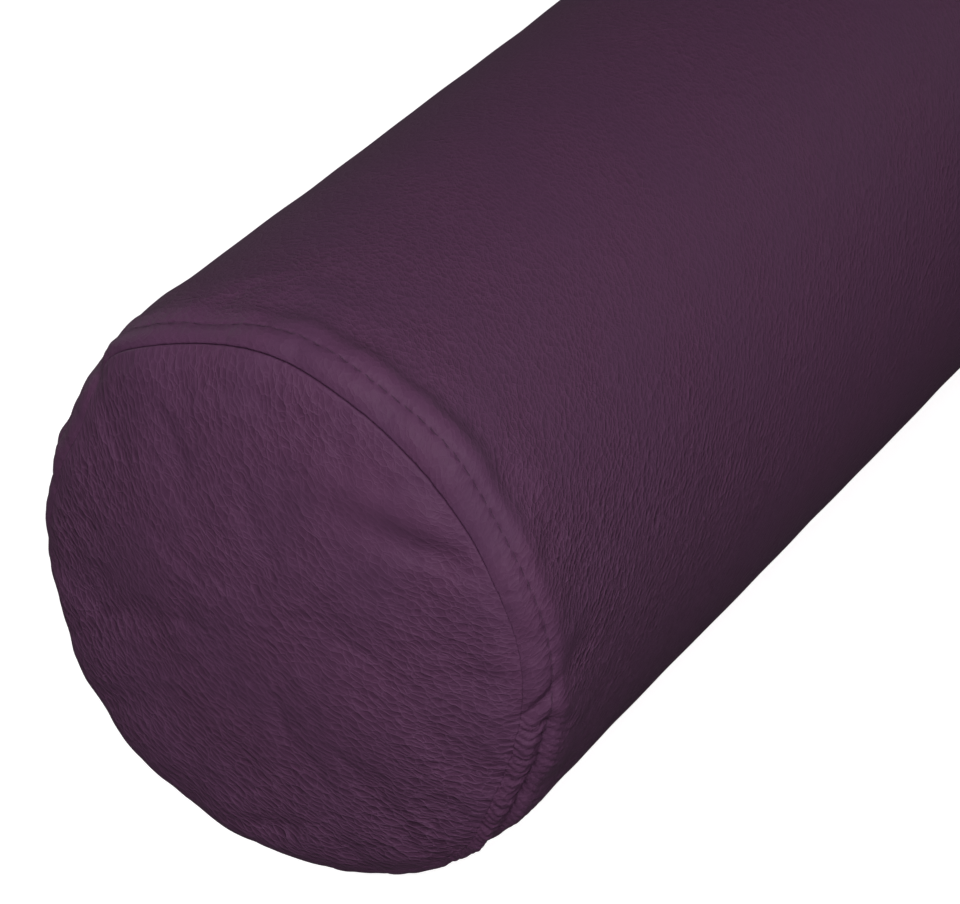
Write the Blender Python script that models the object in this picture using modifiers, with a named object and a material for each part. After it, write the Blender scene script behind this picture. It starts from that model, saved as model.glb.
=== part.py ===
"""A full-round massage bolster: a zipped artificial-leather cover over a fibre-wrapped foam core.

The bolster lies along X on the plane Z = 0. Its back, where the zip runs, faces +Y and a little down.
At each end the cover turns a soft corner to a seam with a round end disc, and both seam allowances
are folded back under that corner and held by a topstitch.
"""

from math import cos, pi, radians, sin, sqrt

import bmesh
import bpy
from mathutils import Matrix, Vector

# Whole bolster, in metres
RADIUS = 0.0762
LENGTH = 0.660
SIDES = 40
REST_ANGLE = 2 * pi / SIDES
AXIS_HEIGHT = RADIUS * cos(REST_ANGLE)

# Sheet materials
LEATHER = 0.0011
LAYER_GAP = 0.0003

# End corner and its seam, measured from the plane that the corner reaches to
CORNER_RADIUS = 0.0056
CORNER_R = RADIUS - CORNER_RADIUS
FOLD_RADIUS = LEATHER + LAYER_GAP / 2
ALLOWANCE_ANGLE = radians(85)
DISC_ROLL = 0.0016
DISC_SLOPE_ANGLE = radians(20)
CROWN = 0.0065
END_X = LENGTH / 2 - CROWN - 0.00025

# Thread
THREAD = 0.0003
THREAD_GAP = 0.00005
TOPSTITCH_OFFSET = 0.0070
GROOVE_DEPTH = 0.00075
GROOVE_HALF = 0.0005

# Core
CORE_GAP = 0.0005
FOAM_RADIUS = 0.0690
FOAM_END = 0.0090
WRAP_RADIUS = RADIUS - LEATHER - CORE_GAP

# Zip, in its own frame: X along the zip, Z outwards from the bolster's axis
ZIP_TURN = radians(-110)
SLOT_HALF_LENGTH = 0.276
SLOT_HALF_WIDTH = 0.00575
HEM_WIDTH = 0.0098
TAPE_TOP = RADIUS - 2 * LEATHER - LAYER_GAP
TAPE_THICKNESS = 0.0006
TAPE_EDGE = 0.0150
TAPE_HALF_LENGTH = 0.291
CHAIN_HALF_GAP = 0.0005
CHAIN_HALF_WIDTH = 0.0031
CHAIN_BASE = TAPE_TOP + 0.00005
CHAIN_TOP = CHAIN_BASE + 0.00215
CHAIN_HALF_LENGTH = 0.2687
STOP_LENGTH = 0.0030
STOP_HALF_WIDTH = 0.0044
STOP_TOP = CHAIN_TOP + 0.0007
ZIP_STITCH_OFFSET = 0.0095
BARTACK_X = SLOT_HALF_LENGTH + 0.0030
CORE_FLAT = 0.0712

# Slider and pull
SLIDER_HALF_LENGTH = 0.0055
SLIDER_HALF_WIDTH = 0.0045
SLIDER_REAR_HALF_WIDTH = 0.0040
SLIDER_CLEARANCE = 0.0003
PLATE = 0.0011
FLANGE_INNER = CHAIN_HALF_WIDTH + SLIDER_CLEARANCE
FLANGE_BOTTOM = CHAIN_BASE + 0.00035
NECK_HALF = 0.00025
BAIL_HALF_LENGTH = 0.0046
BAIL_HALF_WIDTH = 0.0012
BAIL_WALL = 0.0012
PULL_THICKNESS = 0.0014
PULL_LENGTH = 0.0280
PULL_HALF_WIDTH = 0.0034
PULL_TIP_HALF_WIDTH = 0.0028
PULL_WINDOW_HALF = 0.0019
PULL_WINDOW_END = 0.0060
SLIDER_X = -(CHAIN_HALF_LENGTH - SLIDER_HALF_LENGTH - SLIDER_CLEARANCE)

SLIDER_TOP = CHAIN_TOP + SLIDER_CLEARANCE + PLATE
PIVOT_Z = SLIDER_TOP + SLIDER_CLEARANCE + PULL_THICKNESS / 2

LEATHER_COLOUR = (0.072, 0.032, 0.064)
THREAD_COLOUR = (0.050, 0.022, 0.045)
CHAIN_COLOUR = (0.030, 0.018, 0.028)
TAPE_COLOUR = (0.040, 0.022, 0.037)
FOAM_COLOUR = (0.80, 0.74, 0.52)
FIBRE_COLOUR = (0.86, 0.86, 0.84)
METAL_COLOUR = (0.060, 0.060, 0.065)


def clear_scene():
    for obj in list(bpy.data.objects):
        bpy.data.objects.remove(obj)


def collection(name):
    made = bpy.data.collections.new(name)
    bpy.context.scene.collection.children.link(made)
    return made


def material(name, colour, roughness, metallic=0.0):
    made = bpy.data.materials.new(name)
    made.use_nodes = True
    shader = made.node_tree.nodes["Principled BSDF"]
    shader.inputs["Base Color"].default_value = (*colour, 1.0)
    shader.inputs["Roughness"].default_value = roughness
    shader.inputs["Metallic"].default_value = metallic
    return made


def arc(centre, radius, start, end, steps, turn):
    """Points on a circle; turn maps an angle to a unit direction in the profile's plane."""
    points = []
    for i in range(steps + 1):
        across, up = turn(start + (end - start) * i / steps)
        points.append((centre[0] + radius * across, centre[1] + radius * up))
    return points


def corner_turn(angle):
    """Zero points out of the bolster's end, and a right angle points away from its axis."""
    return -cos(angle), sin(angle)


def fold_turn(angle):
    """Zero points into the bolster, and a half turn later out of its end, by way of its axis."""
    return cos(angle), -sin(angle)


CORNER_CENTRE = (CORNER_RADIUS, CORNER_R)
FOLD_CENTRE = (FOLD_RADIUS, CORNER_R)
TOPSTITCH_ANGLE = TOPSTITCH_OFFSET / CORNER_RADIUS


def band_outside():
    """The cover's outer face round the corner, with the narrow groove that the topstitch pulls in."""
    half = GROOVE_HALF / CORNER_RADIUS
    points = arc(CORNER_CENTRE, CORNER_RADIUS, 0, TOPSTITCH_ANGLE - half, 3, corner_turn)
    floor = CORNER_RADIUS - GROOVE_DEPTH
    points += arc(CORNER_CENTRE, floor, TOPSTITCH_ANGLE - half, TOPSTITCH_ANGLE + half, 1, corner_turn)
    points += arc(CORNER_CENTRE, CORNER_RADIUS, TOPSTITCH_ANGLE + half, pi / 2, 1, corner_turn)
    return points


def cover_end():
    """The cover sheet at one end as (face points, back points), from the allowance's edge outwards."""
    layer = LEATHER + LAYER_GAP
    face = arc(CORNER_CENTRE, CORNER_RADIUS - layer - LEATHER, ALLOWANCE_ANGLE, 0, 2, corner_turn)
    face += arc(FOLD_CENTRE, FOLD_RADIUS, 0, pi, 2, fold_turn)[1:-1]
    face += band_outside()
    back = arc(CORNER_CENTRE, CORNER_RADIUS - layer, ALLOWANCE_ANGLE, 0, 2, corner_turn)
    back += arc(FOLD_CENTRE, LAYER_GAP / 2, 0, pi, 2, fold_turn)[1:-1]
    back += arc(CORNER_CENTRE, CORNER_RADIUS - LEATHER, 0, pi / 2, 3, corner_turn)
    return face, back


def disc_crown():
    """(edge depth, edge radius, power) of the disc's crown, u = depth - CROWN * (1 - (r / radius) ** power)."""
    roll_top = CORNER_R - FOLD_RADIUS - LAYER_GAP
    edge_r = roll_top - DISC_ROLL + DISC_ROLL * sin(DISC_SLOPE_ANGLE)
    edge_depth = FOLD_RADIUS - DISC_ROLL * cos(DISC_SLOPE_ANGLE)
    power = edge_r * sin(DISC_SLOPE_ANGLE) / cos(DISC_SLOPE_ANGLE) / CROWN
    return edge_depth, edge_r, power


def crown_depth(r):
    depth, edge, power = disc_crown()
    return depth - CROWN * (1 - (r / edge) ** power)


def crown_slope(r):
    _, edge, power = disc_crown()
    return CROWN * power / edge * (r / edge) ** (power - 1)


def disc_sheet():
    """The end disc as (face points, back points), from its centre to the edge of its allowance."""
    _, edge, _ = disc_crown()
    face, back = [], []
    for share in (0.0, 0.45, 0.80):
        r = share * edge
        slope = crown_slope(r) if r else 0.0
        length = sqrt(1 + slope * slope)
        face.append((crown_depth(r), r))
        back.append((crown_depth(r) + LEATHER / length, r - LEATHER * slope / length))
    roll_centre = (FOLD_RADIUS, CORNER_R - FOLD_RADIUS - LAYER_GAP - DISC_ROLL)

    def roll_turn(angle):
        return cos(angle), sin(angle)

    outer_fold = FOLD_RADIUS + LAYER_GAP
    allowance = CORNER_RADIUS - 2 * (LEATHER + LAYER_GAP)
    for side, roll, fold, bend in (
        (face, DISC_ROLL, outer_fold, allowance),
        (back, DISC_ROLL - LEATHER, outer_fold + LEATHER, allowance - LEATHER),
    ):
        side += arc(roll_centre, roll, pi - DISC_SLOPE_ANGLE, pi / 2, 2, roll_turn)
        side += arc(FOLD_CENTRE, fold, pi / 2, 0, 2, fold_turn)[1:]
        side += arc(CORNER_CENTRE, bend, 0, ALLOWANCE_ANGLE, 2, corner_turn)[1:]
    return face, back


def at_left(points):
    return [Vector((-END_X + depth, 0, r)) for depth, r in points]


def at_right(points):
    return [Vector((END_X - depth, 0, r)) for depth, r in points]


def press(points, turn, radius, height):
    """Flattens one side of a turned shape, seen from its axis, so that a surface at radius becomes a
    plane at height. Each column of points shrinks by one factor, so that nested layers stay nested."""
    out = Vector((0, -sin(turn), cos(turn)))
    across = Vector((0, cos(turn), sin(turn)))
    for point in points:
        along, offset = point.co.dot(out), point.co.dot(across)
        surface = sqrt(max(radius * radius - offset * offset, 0))
        if along > 0 and surface > height:
            point.co += out * along * (height / surface - 1)


def mesh_object(name, mesh, group, slot):
    obj = bpy.data.objects.new(name, mesh)
    mesh.materials.clear()
    mesh.materials.append(slot)
    group.objects.link(obj)
    return obj


def turned(name, profile, group, slot, in_core=False):
    """A closed profile in the plane Y = 0, turned about the bolster's axis and settled on its flat."""
    mesh = bpy.data.meshes.new(name)
    edges = [(i, (i + 1) % len(profile)) for i in range(len(profile))]
    if profile[0].z == 0 and profile[-1].z == 0:
        edges.pop()
    mesh.from_pydata(profile, edges, [])
    raw = bpy.data.objects.new(name, mesh)
    group.objects.link(raw)
    screw = raw.modifiers.new("Turn", "SCREW")
    screw.axis = "X"
    screw.steps = screw.render_steps = SIDES
    screw.use_merge_vertices = True
    screw.merge_threshold = 0.00001
    finished = evaluated_mesh(raw)
    bpy.data.objects.remove(raw)
    shape = bmesh.new()
    shape.from_mesh(finished)
    bmesh.ops.recalc_face_normals(shape, faces=shape.faces)
    press(shape.verts, pi, RADIUS, AXIS_HEIGHT)
    if in_core:
        press(shape.verts, ZIP_TURN, RADIUS - LEATHER - CORE_GAP, CORE_FLAT)
    shape.to_mesh(finished)
    shape.free()
    finished.name = name
    finished.shade_smooth()
    finished.set_sharp_from_angle(angle=radians(35))
    obj = mesh_object(name, finished, group, slot)
    obj.location.z = AXIS_HEIGHT
    return obj


def evaluated_mesh(obj):
    """The object's mesh as its modifiers leave it, with a curve's loose caps welded on."""
    bpy.context.view_layer.update()
    graph = bpy.context.evaluated_depsgraph_get()
    mesh = bpy.data.meshes.new_from_object(obj.evaluated_get(graph))
    shape = bmesh.new()
    shape.from_mesh(mesh)
    bmesh.ops.remove_doubles(shape, verts=shape.verts, dist=0.000001)
    shape.to_mesh(mesh)
    shape.free()
    return mesh


def extruded(name, outline, depth, placement, group, slot, bevel=0.0):
    """A flat outline given a thickness. placement carries the outline's plane into the zip's frame."""
    curve = bpy.data.curves.new(name, "CURVE")
    curve.dimensions = "2D"
    curve.fill_mode = "BOTH"
    curve.extrude = depth / 2
    spline = curve.splines.new("POLY")
    spline.points.add(len(outline) - 1)
    for point, (x, y) in zip(spline.points, outline):
        point.co = (x, y, 0, 1)
    spline.use_cyclic_u = True
    raw = bpy.data.objects.new(name, curve)
    group.objects.link(raw)
    mesh = evaluated_mesh(raw)
    bpy.data.objects.remove(raw)
    mesh.transform(placement)
    mesh.shade_smooth()
    mesh.set_sharp_from_angle(angle=radians(30))
    obj = mesh_object(name, mesh, group, slot)
    if bevel:
        soften(obj, bevel)
    return obj


def soften(obj, width):
    edge = obj.modifiers.new("Edges", "BEVEL")
    edge.width = width
    edge.segments = 1
    edge.limit_method = "ANGLE"


def box(name, low, high, group, slot):
    bpy.ops.mesh.primitive_cube_add(size=1)
    obj = bpy.context.object
    obj.name = obj.data.name = name
    centre = [(a + b) / 2 for a, b in zip(low, high)]
    sizes = [b - a for a, b in zip(low, high)]
    obj.data.transform(Matrix.Translation(centre) @ Matrix.Diagonal((*sizes, 1)))
    for owner in list(obj.users_collection):
        owner.objects.unlink(obj)
    group.objects.link(obj)
    obj.data.materials.append(slot)
    return obj


def boolean(obj, other, operation):
    cut = obj.modifiers.new(operation.title(), "BOOLEAN")
    cut.operation = operation
    cut.object = other
    other.hide_render = True
    other.display_type = "WIRE"


def across_zip(x):
    """Carries an outline drawn in (across, out) to the plane at this X, in the zip's frame."""
    return Matrix(((0, 0, 1, x), (1, 0, 0, 0), (0, 1, 0, 0), (0, 0, 0, 1)))


def along_zip(z):
    """Carries an outline drawn in (along, across) to the plane at this height, in the zip's frame."""
    return Matrix.Translation((0, 0, z))


def beside_zip():
    """Carries an outline drawn in (along, out) to the plane through the zip's middle."""
    return Matrix(((1, 0, 0, 0), (0, 0, -1, 0), (0, 1, 0, 0), (0, 0, 0, 1)))


def arched_strip(inner, outer, low, high, steps):
    """The outline of a strip that follows the bolster's curve between two radii, from low to high across."""
    spots = [low + (high - low) * i / steps for i in range(steps + 1)]
    top = [(y, sqrt(outer * outer - y * y)) for y in spots]
    bottom = [(y, sqrt(inner * inner - y * y)) for y in spots]
    return top + bottom[::-1]


def rounded_slot(half_length, half_width, steps=6):
    """A long slot with round ends, as an outline in (along, across)."""
    points = []
    for side in (1, -1):
        for i in range(steps + 1):
            angle = -pi / 2 + pi * i / steps
            straight = half_length - half_width
            points.append((side * (straight + half_width * cos(angle)), side * half_width * sin(angle)))
    return points


def thread_line(name, points, group, slot):
    curve = bpy.data.curves.new(name, "CURVE")
    curve.dimensions = "3D"
    curve.bevel_depth = THREAD
    curve.bevel_resolution = 1
    curve.use_fill_caps = True
    spline = curve.splines.new("POLY")
    spline.points.add(len(points) - 1)
    for point, place in zip(spline.points, points):
        point.co = (*place, 1)
    curve.materials.append(slot)
    obj = bpy.data.objects.new(name, curve)
    group.objects.link(obj)
    return obj


def thread_ring(name, x, r, group, slot):
    across = (-THREAD, 0, THREAD, 0)
    up = (0, THREAD, 0, -THREAD)
    profile = [Vector((x + a, 0, r + b)) for a, b in zip(across, up)]
    return turned(name, profile, group, slot)


def make_cover(group, cutters, leather, zip_frame):
    """The tube panel, with a hem along each side of the opening that the zip closes."""
    face, back = cover_end()
    outside = at_left(face) + at_right(face)[::-1]
    inside = at_left(back) + at_right(back)[::-1]
    cover = turned("cover_tube", outside + inside[::-1], group, leather)
    length = 2 * (SLOT_HALF_LENGTH + HEM_WIDTH)
    for side in (-1, 1):
        near, far = side * SLOT_HALF_WIDTH, side * (SLOT_HALF_WIDTH + HEM_WIDTH)
        strip = arched_strip(RADIUS - 2 * LEATHER, RADIUS - LEATHER + 0.0001, near, far, 4)
        label = "upper" if side > 0 else "lower"
        hem = extruded(f"hem_{label}", strip, length, across_zip(0), cutters, leather)
        hem.parent = zip_frame
        boolean(cover, hem, "UNION")
    slot_outline = rounded_slot(SLOT_HALF_LENGTH, SLOT_HALF_WIDTH)
    slot = extruded("slot_cutter", slot_outline, 0.012, along_zip(RADIUS), cutters, leather)
    slot.parent = zip_frame
    boolean(cover, slot, "DIFFERENCE")
    return cover


def make_ends(group, leather, thread):
    """Both end discs, the hidden thread that closes each seam, and each topstitch in its groove."""
    face, back = disc_sheet()
    seam_depth = CORNER_RADIUS - (CORNER_RADIUS - 2 * (LEATHER + LAYER_GAP) - LEATHER - THREAD - THREAD_GAP)
    topstitch = CORNER_RADIUS - GROOVE_DEPTH + THREAD_GAP + THREAD
    depth = CORNER_RADIUS - topstitch * cos(TOPSTITCH_ANGLE)
    height = CORNER_R + topstitch * sin(TOPSTITCH_ANGLE)
    for side, place, sign in (("left", at_left, -1), ("right", at_right, 1)):
        turned(f"end_disc_{side}", place(face) + place(back)[::-1], group, leather)
        thread_ring(f"end_seam_thread_{side}", sign * (END_X - seam_depth), CORNER_R, group, thread)
        thread_ring(f"end_topstitch_{side}", sign * (END_X - depth), height, group, thread)


def make_core(group, foam, fibre):
    """Foam cylinder, the fibre wrap round it and a fibre pad in each crown."""
    foam_x = END_X - FOAM_END
    foam_profile = [(-foam_x, 0), (-foam_x, FOAM_RADIUS), (foam_x, FOAM_RADIUS), (foam_x, 0)]
    turned("foam_core", [Vector((x, 0, r)) for x, r in foam_profile], group, foam, True)

    wrap_start = FOAM_END + LAYER_GAP
    inner, corner = FOAM_RADIUS + LAYER_GAP, 0.0067
    wrap_end = [(wrap_start, inner), (wrap_start, inner + 0.0015), (wrap_start + corner, WRAP_RADIUS)]
    turned("fibre_wrap", at_left(wrap_end) + at_right(wrap_end)[::-1], group, fibre, True)

    inset = LEATHER + CORE_GAP
    pad = [(crown_depth(r) + inset, r) for r in (0.0, 0.032, 0.056)]
    pad += [(0.0029, 0.0650), (0.0060, 0.0680), (FOAM_END - LAYER_GAP, 0.0688), (FOAM_END - LAYER_GAP, 0.0)]
    for side, place in (("left", at_left), ("right", at_right)):
        turned(f"fibre_pad_{side}", place(pad), group, fibre, True)


def make_zip(group, tape, chain, thread, zip_frame):
    """Tapes, coil rows, stops and the stitching that holds the zip in the cover."""
    made = []
    for side, label in ((1, "upper"), (-1, "lower")):
        strip = arched_strip(TAPE_TOP - TAPE_THICKNESS, TAPE_TOP, side * CHAIN_HALF_GAP, side * TAPE_EDGE, 6)
        made.append(extruded(f"zip_tape_{label}", strip, 2 * TAPE_HALF_LENGTH, across_zip(0), group, tape))

        near, far, shoulder = side * CHAIN_HALF_GAP, side * CHAIN_HALF_WIDTH, 0.0006
        row = [(near, CHAIN_BASE), (far, CHAIN_BASE), (far, CHAIN_TOP - shoulder)]
        row += [(far - side * shoulder, CHAIN_TOP), (near + side * shoulder / 2, CHAIN_TOP)]
        row += [(near, CHAIN_TOP - shoulder / 2)]
        made.append(extruded(f"zip_coil_{label}", row, 2 * CHAIN_HALF_LENGTH, across_zip(0), group, chain))

        ends = sorted((side * CHAIN_HALF_GAP, side * STOP_HALF_WIDTH))
        start = -CHAIN_HALF_LENGTH - LAYER_GAP - STOP_LENGTH
        low, high = (start, ends[0], CHAIN_BASE), (start + STOP_LENGTH, ends[1], STOP_TOP)
        stop = box(f"zip_top_stop_{label}", low, high, group, chain)
        soften(stop, 0.0004)
        made.append(stop)

        y = side * ZIP_STITCH_OFFSET
        z = sqrt(RADIUS**2 - y * y) + THREAD + THREAD_GAP
        ends = [(-BARTACK_X + 0.001, y, z), (BARTACK_X - 0.001, y, z)]
        made.append(thread_line(f"zip_topstitch_{label}", ends, group, thread))

    start = CHAIN_HALF_LENGTH + LAYER_GAP
    low, high = (start, -STOP_HALF_WIDTH, CHAIN_BASE), (start + STOP_LENGTH, STOP_HALF_WIDTH, STOP_TOP)
    stop = box("zip_bottom_stop", low, high, group, chain)
    soften(stop, 0.0004)
    made.append(stop)

    lift = RADIUS + THREAD + THREAD_GAP
    span = ZIP_STITCH_OFFSET / RADIUS
    seam_start, seam_end = BARTACK_X + 0.002, END_X - CORNER_RADIUS - 0.004
    for side, label in ((-1, "left"), (1, "right")):
        angles = [span * (i / 4 - 1) for i in range(9)]
        tack = [(side * BARTACK_X, lift * sin(a), lift * cos(a)) for a in angles]
        made.append(thread_line(f"zip_bartack_{label}", tack, group, thread))
        ends = [(side * seam_start, 0.0032, lift), (side * seam_end, 0.0032, lift)]
        made.append(thread_line(f"back_seam_thread_{label}", ends, group, thread))
    for obj in made:
        obj.parent = zip_frame


def make_slider(group, cutters, metal, slider_frame):
    """The slider: a top plate with side flanges, a bottom plate under the tapes, and the neck between."""
    front, rear, wide, narrow = -SLIDER_HALF_LENGTH, SLIDER_HALF_LENGTH, SLIDER_HALF_WIDTH, SLIDER_REAR_HALF_WIDTH
    half = [(front, 0.0030), (front + 0.0012, wide), (0.0005, wide), (rear - 0.0012, narrow), (rear, 0.0028)]
    outline = half + [(x, -y) for x, y in half[::-1]]
    top = CHAIN_TOP + SLIDER_CLEARANCE
    body = extruded("slider_body", outline, PLATE, along_zip(top + PLATE / 2), group, metal)
    bottom_top = TAPE_TOP - TAPE_THICKNESS - 0.0004
    bottom = extruded("bottom_plate", outline, PLATE, along_zip(bottom_top - PLATE / 2), cutters, metal)
    overlap = 0.0002
    reach = (front + 0.0016, rear - 0.0016)
    joined = [bottom]
    neck_low, neck_high = (front + 0.0008, -NECK_HALF, bottom_top - overlap), (-0.0012, NECK_HALF, top + overlap)
    joined.append(box("neck", neck_low, neck_high, cutters, metal))
    for side, label in ((1, "upper"), (-1, "lower")):
        across = sorted((side * FLANGE_INNER, side * (narrow - 0.0001)))
        low, high = (reach[0], across[0], FLANGE_BOTTOM), (reach[1], across[1], top + overlap)
        joined.append(box(f"flange_{label}", low, high, cutters, metal))
    for piece in joined:
        piece.parent = slider_frame
        boolean(body, piece, "UNION")
    body.parent = slider_frame
    return body


def make_bail(group, metal, slider_frame):
    """The bridge on the slider's back that the pull hangs from."""
    foot = SLIDER_TOP + THREAD_GAP
    inside = PIVOT_Z + PULL_THICKNESS / 2 + 0.00035
    half, wall = BAIL_HALF_LENGTH, BAIL_WALL
    outer = [(-half, foot), (-half, inside), (-half + wall, inside + wall), (half - wall, inside + wall)]
    outer += [(half, inside), (half, foot)]
    inner = [(half - wall, foot), (half - wall, inside), (-half + wall, inside), (-half + wall, foot)]
    outline = [(x, z) for x, z in outer + inner]
    bail = extruded("slider_bail", outline, 2 * BAIL_HALF_WIDTH, beside_zip(), group, metal)
    soften(bail, 0.00025)
    bail.parent = slider_frame
    return bail


def make_pull(group, cutters, metal, pull_frame):
    """The pull: a flat tab whose round end bar passes under the bail. Its frame is the bar's axis."""
    tip, wide, narrow = PULL_LENGTH, PULL_HALF_WIDTH, PULL_TIP_HALF_WIDTH
    half = [(0.0, wide), (PULL_WINDOW_END + 0.001, wide), (tip - narrow, narrow)]
    half += [(tip - narrow + narrow * sin(a), narrow * cos(a)) for a in (pi / 6, pi / 3)]
    outline = half + [(tip, 0.0)] + [(x, -y) for x, y in half[::-1]]
    pull = extruded("pull_tab", outline, PULL_THICKNESS, along_zip(0), group, metal)

    bpy.ops.mesh.primitive_cylinder_add(vertices=16, radius=PULL_THICKNESS / 2, depth=2 * wide)
    bar = bpy.context.object
    bar.name = "pull_end_bar"
    bar.data.transform(Matrix.Rotation(pi / 2, 4, "X"))
    window_low = (PULL_THICKNESS / 2, -PULL_WINDOW_HALF, -0.002)
    window_high = (PULL_WINDOW_END, PULL_WINDOW_HALF, 0.002)
    window = box("pull_window", window_low, window_high, cutters, metal)
    for owner in list(bar.users_collection):
        owner.objects.unlink(bar)
    cutters.objects.link(bar)
    for piece, operation in ((bar, "UNION"), (window, "DIFFERENCE")):
        piece.parent = pull_frame
        boolean(pull, piece, operation)
    pull.parent = pull_frame
    return pull


def empty(name, group, location, turn=0.0, parent=None):
    made = bpy.data.objects.new(name, None)
    made.empty_display_size = 0.02
    made.location = location
    made.rotation_euler.x = turn
    made.parent = parent
    group.objects.link(made)
    return made


def main():
    clear_scene()
    bolster = collection("bolster")
    cutters = collection("cutters")
    leather = material("cover_leather", LEATHER_COLOUR, 0.55)
    thread = material("thread", THREAD_COLOUR, 0.60)
    tape = material("zip_tape", TAPE_COLOUR, 0.90)
    chain = material("zip_coil", CHAIN_COLOUR, 0.40)
    metal = material("slider_metal", METAL_COLOUR, 0.35, 0.9)
    foam = material("foam", FOAM_COLOUR, 0.95)
    fibre = material("fibre", FIBRE_COLOUR, 0.95)

    zip_frame = empty("zip_frame", bolster, (0, 0, AXIS_HEIGHT), ZIP_TURN)
    slider_frame = empty("slider_frame", bolster, (SLIDER_X, 0, 0), 0.0, zip_frame)
    pull_frame = empty("pull_frame", bolster, (0, 0, PIVOT_Z), 0.0, slider_frame)

    make_cover(bolster, cutters, leather, zip_frame)
    make_ends(bolster, leather, thread)
    make_core(bolster, foam, fibre)
    make_zip(bolster, tape, chain, thread, zip_frame)
    make_slider(bolster, cutters, metal, slider_frame)
    make_bail(bolster, metal, slider_frame)
    make_pull(bolster, cutters, metal, pull_frame)


main()
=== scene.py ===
from math import cos, pi, radians, sin, sqrt

import bpy
import numpy as np
from mathutils import Matrix, Vector


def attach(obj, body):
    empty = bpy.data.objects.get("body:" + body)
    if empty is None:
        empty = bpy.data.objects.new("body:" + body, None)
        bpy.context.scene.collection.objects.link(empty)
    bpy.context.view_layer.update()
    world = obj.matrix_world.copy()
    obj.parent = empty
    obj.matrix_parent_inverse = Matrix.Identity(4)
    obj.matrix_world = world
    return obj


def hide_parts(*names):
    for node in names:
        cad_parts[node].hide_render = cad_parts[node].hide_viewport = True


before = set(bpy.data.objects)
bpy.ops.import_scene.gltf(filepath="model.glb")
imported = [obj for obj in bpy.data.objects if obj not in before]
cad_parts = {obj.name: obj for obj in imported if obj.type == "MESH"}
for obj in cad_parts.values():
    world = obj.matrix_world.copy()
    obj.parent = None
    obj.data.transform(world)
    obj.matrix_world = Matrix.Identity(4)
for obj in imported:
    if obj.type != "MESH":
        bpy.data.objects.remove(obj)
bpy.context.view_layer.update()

# Shapes are worked out in millimetres, and MILLI turns a finished mesh into metres.
MILLI = 0.001
RADIUS = 76.2
AXIS_HEIGHT = 75.262
END_X = 323.25  # plane of the filled end, from which its disc crowns out
CORNER_DEPTH = 7.5
CORNER_POWER = 12
CROWN = 9.0
FOAM_LIMIT = 70.6  # the cover never sinks below this radius, where the foam holds it out
SEAM_R = 70.5

# The folded edges of the two panels, which meet with a hair's gap in the seam
SEAM_GAP = 0.04
TUBE_FOLD = 0.5
DISC_FOLD = 0.65
DISC_COLUMNS = 1536

# The disc's grain sweeps round this centre. Its places on the skin start past any place on the tube.
GRAIN_CENTRE = (70.0, 97.0)
DISC_SKIN = 900.0

# Sewing
STITCHES_ROUND = 123
STITCH = 2 * pi * RADIUS / STITCHES_ROUND
TOPSTITCH_S = 7.0
THREAD = 0.15
ZIP_STITCH_C = 9.5
LOBE = 10.5  # length of one bunched lobe
PULL = 2.3  # from one fine ridge to the next beside the lobes

# Cloth simulation of the leather at each end, on a grid of square cells
GRID = 3.2
GRID_ROUND = 160
GRID_INSIDE = 21
GRID_ROWS = 47
CLOTH_FRAMES = 20
CREASE_CAP = 2.4
CREASE_SHARE = 0.55  # of the simulated creases' depth, taken over by the fine panels

# Zip, which runs along the back
ZIP_ANGLE = radians(-110)
OPENING_HALF = 5.75
OPENING_END = 276.0
OPENING_TAPER = 9.0
ZIP_STITCH_END = OPENING_END + 2.6
BARTACK_X = OPENING_END + 3.0
BACK_SEAM_START = OPENING_END + 6.0
BACK_SEAM_END = END_X - 12.0
BACK_SEAM_C = 3.2
EDGE_ROLL = 1.1
HEM_UNDER = 5.0
TAPE_R = 73.7
TAPE_END = 290.8
TAPE_THICK = 0.55
CHAIN_END = 268.7
COIL_PITCH = 1.6
COIL_WIRE = 0.36

# ---------------- numbers on surfaces


def waves(count, turns, lengths, seed):
    """Random waves as (turns round the bolster, waves per mm along it, phase), for swell()."""
    rng = np.random.default_rng(seed)
    made = []
    for _ in range(count):
        turn = rng.integers(*turns)
        rate = rng.choice((-1, 1)) / rng.uniform(*lengths)
        made.append((turn, rate, rng.uniform(0, 2 * pi)))
    return made


def swell(made, angle, along):
    """A smooth random height of about -1 to 1 that joins up round the bolster."""
    total = 0.0
    for turns, rate, phase in made:
        total = total + np.cos(turns * angle + 2 * pi * rate * along + phase)
    return total / sqrt(len(made) * 1.2)


def bump(distance, width):
    return np.exp(-((distance / width) ** 2))


def turn_between(angle, centre):
    """The signed angle from centre to angle, by the short way round."""
    return (angle - centre + pi) % (2 * pi) - pi


def near(angle, centre, width):
    """1 at this centre, fading over this width on both sides of it. Both are in degrees."""
    return bump(turn_between(angle, radians(centre)), radians(width))


def smooth(edge0, edge1, value):
    t = np.clip((value - edge0) / (edge1 - edge0), 0, 1)
    return t * t * (3 - 2 * t)


# ---------------- the filled end


def end_meridian():
    """The plain filled end as a curve from its middle, over the corner, on to the tube: distances along
    it, then depth in from the end, radius, and the outward direction as (out of the end, from the axis)."""
    t = np.linspace(0.0, 1.0, 4001)
    lean = 0.5 * pi * t**6
    r = RADIUS * np.sin(lean) ** (2 / CORNER_POWER)
    depth = CORNER_DEPTH * (1 - np.cos(lean)) - CROWN * (1 - (r / RADIUS) ** 2)
    depth = np.append(depth, depth[-1] + np.linspace(0.2, 340, 1700))
    r = np.append(r, np.full(1700, RADIUS))
    along = np.concatenate([[0.0], np.cumsum(np.hypot(np.diff(depth), np.diff(r)))])
    slope_depth, slope_r = np.gradient(depth, along), np.gradient(r, along)
    return along, depth, r, slope_r, slope_depth


MERIDIAN = end_meridian()
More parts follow.
